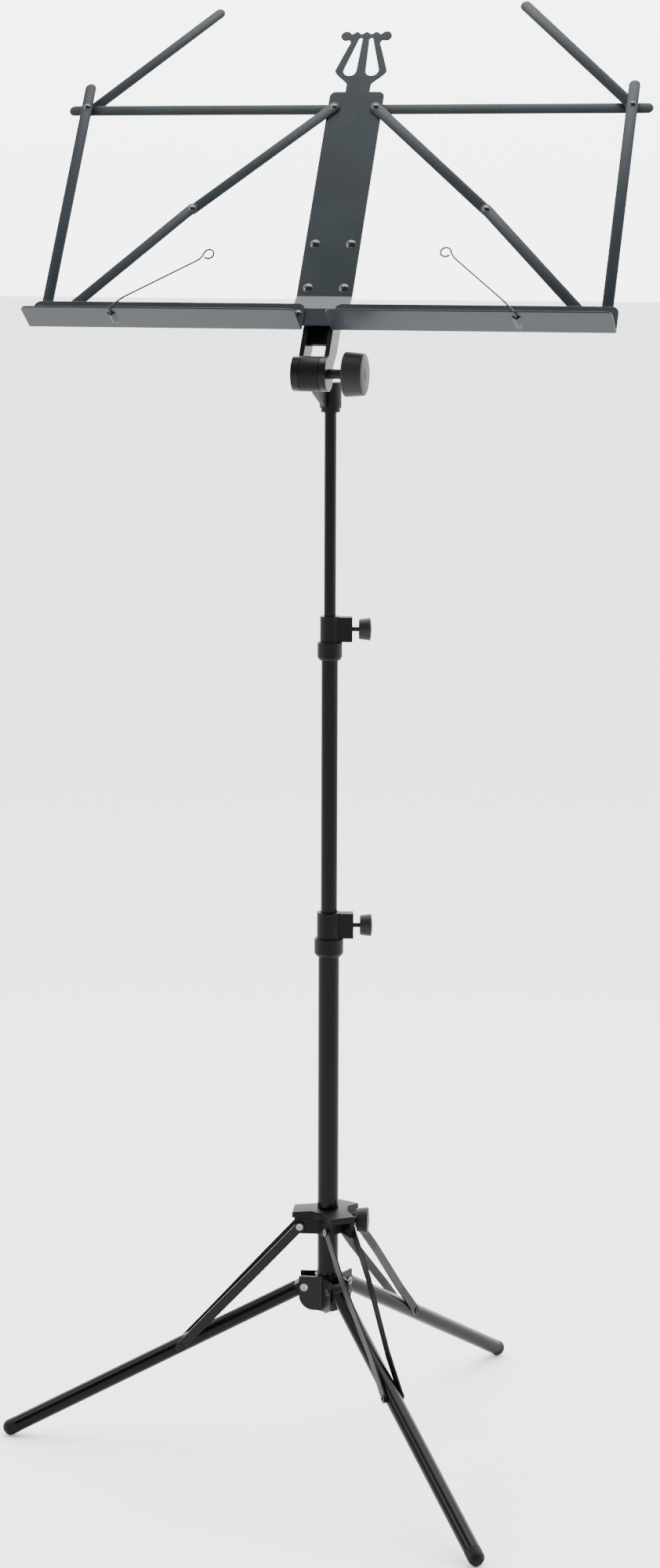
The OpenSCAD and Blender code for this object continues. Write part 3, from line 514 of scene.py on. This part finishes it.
for side, sign, tip_n in (("right", 1, 17 * MM), ("left", -1, 12 * MM)):
    front = flange_back + SHELF_DEPTH + CLIP_GAP
    run_a = math.radians(180 - CLIP_RISE)
    run = Vector((math.cos(run_a), math.sin(run_a)))
    kink_a = 180 - CLIP_RISE - CLIP_KINK
    kink = Vector((math.cos(math.radians(kink_a)), math.sin(math.radians(kink_a))))
    foot = Vector((CLIP_X, CLIP_V))
    tip = foot + run * CLIP_LEN
    loop_start = tip + kink * 5 * MM
    centre = loop_start + CLIP_LOOP_R * Vector((-kink.y, kink.x))
    path = [(foot, flange_back + CLIP_BACK), (foot, front - CLIP_BEND_R)]
    for a in (30, 60, 90):
        path.append((foot + run * CLIP_BEND_R * (1 - math.cos(math.radians(a))),
                     front - CLIP_BEND_R * (1 - math.sin(math.radians(a)))))
    knee = foot + run * CLIP_STRAIGHT
    end = tip - run * 3 * MM
    path.append((knee - run * EASE, front))
    slope = (tip_n - front) / (end - knee).length
    path.append((knee + run * EASE, front + slope * EASE))
    path.append((end - run * EASE, tip_n - slope * EASE))
    path.append((end + run * 1.0 * MM, tip_n))
    path.append((tip + kink * 2 * MM, tip_n))
    loop = arc(centre.x, centre.y, CLIP_LOOP_R, kink_a - 90, kink_a + 210, 30)
    path += [(Vector(p), tip_n) for p in loop]
    curve = bpy.data.curves.new("clip", "CURVE")
    curve.dimensions = "3D"
    curve.bevel_depth = WIRE_D / 2
    curve.bevel_resolution = 5
    curve.use_fill_caps = True
    spline = curve.splines.new("POLY")
    spline.points.add(len(path) - 1)
    for point, (p, n) in zip(spline.points, path):
        point.co = (sign * p.x, p.y, n, 1)
    mesh = from_curve(curve)
    mesh.transform(DESK)
    add(side + "_page_clip_wire", mesh, side + "_page_clip", sharp=60)


# ---------------------------------------------------------------- knobs

def knob(node, joint, back_share, front_share, edge, dish):
    """A smooth tapered knob on its stud, with rounded edges and a shallow ring in its domed end.
    Its size and place come from the node; the shares are its end radii over the widest one."""
    origin, axis = joint_at(joint), Vector(JOINTS[joint]["axis"]).normalized()
    spots = []
    for vert in NODES[node].data.vertices:
        off = NODES[node].matrix_world @ vert.co - origin
        spots.append((off.dot(axis), (off - axis * off.dot(axis)).length))
    wide = max(r for _, r in spots)
    low, top = min(t for t, _ in spots), max(t for t, _ in spots)
    stud = max(r for t, r in spots if t < low + 1e-5)
    back = min(t for t, r in spots if r > wide * 0.6)
    rim = max(t for t, r in spots if r > wide * 0.6)
    r_back, r_front = wide * back_share, wide * front_share
    lean = math.degrees(math.atan2(r_front - r_back, rim - back))
    profile = [(0, low), (stud, low), (stud, back), (r_back - edge, back)]
    profile += arc(r_back - edge, back + edge, edge, -60, -lean, 5)
    profile += arc(r_front - edge, rim - edge, edge, -lean, 68, 6)
    crown = r_front - 1.4 * edge
    for i in range(1, 9):
        r = crown * (1 - i / 9)
        ring = dish if i in (4, 5) else 0
        profile.append((r, rim + (top - rim) * (1 - (r / crown) ** 2) - ring))
    profile.append((0, top))
    add(node + "_grip", turned(profile, along(origin, axis)), node, sharp=50.0)


knob("tilt_knob", "tilt_knob_turn", 1.0, 0.94, 1.8 * MM, 0.35 * MM)
knob("hub_knob", "hub_knob_turn", 0.90, 1.0, 1.2 * MM, 0.25 * MM)
knob("lower_clamp_knob", "lower_clamp_turn", 0.90, 1.0, 1.1 * MM, 0.25 * MM)
knob("upper_clamp_knob", "upper_clamp_turn", 0.90, 1.0, 1.1 * MM, 0.25 * MM)


# ---------------------------------------------------------------- nodes shown as they are

for name, node in NODES.items():
    node.data.materials.clear()
    node.data.materials.append(MATERIALS[SLOT_OF[name]])
    for face in node.data.polygons:
        face.material_index = 0

# ---------------------------------------------------------------- stage, light and camera

floor_mesh = bpy.data.meshes.new("floor")
FLOOR = 40.0
floor_z = cad_box[0].z
floor_mesh.from_pydata([(-FLOOR, -FLOOR, floor_z), (FLOOR, -FLOOR, floor_z),
                        (FLOOR, FLOOR, floor_z), (-FLOOR, FLOOR, floor_z)], [], [(0, 1, 2, 3)])
floor = bpy.data.objects.new("floor", floor_mesh)
bpy.context.scene.collection.objects.link(floor)
floor.data.materials.append(shader("floor", (0.93, 0.93, 0.93), 0.9, vary=0.005, grain=60.0,
                                   bump=0.01, specular=0.1, mottle=0.6))

SKY_FRONT = 0.45
SKY_BACK = 6.5
SKY_HORIZON = 0.85
world = bpy.data.worlds.new("studio")
bpy.context.scene.world = world
world.use_nodes = True
sky = world.node_tree
background = sky.nodes["Background"]
coord = sky.nodes.new("ShaderNodeTexCoord")
split = sky.nodes.new("ShaderNodeSeparateXYZ")
sky.links.new(coord.outputs["Generated"], split.inputs["Vector"])


def sky_range(axis, low, high, to_low, to_high):
    """A smooth change of the sky's brightness along one axis."""
    node = sky.nodes.new("ShaderNodeMapRange")
    node.interpolation_type = "SMOOTHSTEP"
    node.inputs["From Min"].default_value = low
    node.inputs["From Max"].default_value = high
    node.inputs["To Min"].default_value = to_low
    node.inputs["To Max"].default_value = to_high
    sky.links.new(split.outputs[axis], node.inputs["Value"])
    return node.outputs["Result"]


depth = sky_range("Y", -0.35, 0.55, SKY_FRONT, SKY_BACK)
haze = sky_range("Z", 0.0, 0.12, SKY_HORIZON, 1.0)
level = sky.nodes.new("ShaderNodeMath")
level.operation = "MULTIPLY"
sky.links.new(depth, level.inputs[0])
sky.links.new(haze, level.inputs[1])
sky.links.new(level.outputs["Value"], background.inputs["Strength"])
background.inputs["Color"].default_value = (0.98, 0.99, 1.0, 1.0)


def soft_box(name, place, target, width, height, power):
    light = bpy.data.lights.new(name, "AREA")
    light.shape = "RECTANGLE"
    light.size, light.size_y = width, height
    light.energy = power
    obj = bpy.data.objects.new(name, light)
    bpy.context.scene.collection.objects.link(obj)
    obj.location = place
    obj.rotation_mode = "QUATERNION"
    obj.rotation_quaternion = (Vector(target) - Vector(place)).to_track_quat("-Z", "Y")
    return obj


soft_box("key_left", (-2.2, -1.3, 1.9), (0, 0, 0.8), 1.2, 2.0, 60)
soft_box("side_right", (2.3, 0.4, 1.4), (0, 0, 0.7), 0.5, 2.2, 28)
soft_box("top", (0.0, 0.25, 3.1), (0, 0, 0.6), 1.8, 1.2, 60)

CAM_AT = Vector((0.6379, -2.5791, 1.0537))
CAM_LOOK = Vector((-0.23627, 0.95612, -0.17321)).normalized()
CAM_UP = Vector((-0.04479, 0.16735, 0.98488))
cam_right = CAM_LOOK.cross(CAM_UP).normalized()
cam_up = cam_right.cross(CAM_LOOK)
camera_data = bpy.data.cameras.new("camera")
camera_data.lens = 73.6
camera_data.sensor_width = 36.0
camera = bpy.data.objects.new("camera", camera_data)
bpy.context.scene.collection.objects.link(camera)
camera.matrix_world = Matrix((
    (cam_right.x, cam_up.x, -CAM_LOOK.x, CAM_AT.x),
    (cam_right.y, cam_up.y, -CAM_LOOK.y, CAM_AT.y),
    (cam_right.z, cam_up.z, -CAM_LOOK.z, CAM_AT.z),
    (0, 0, 0, 1),
))
bpy.context.scene.camera = camera
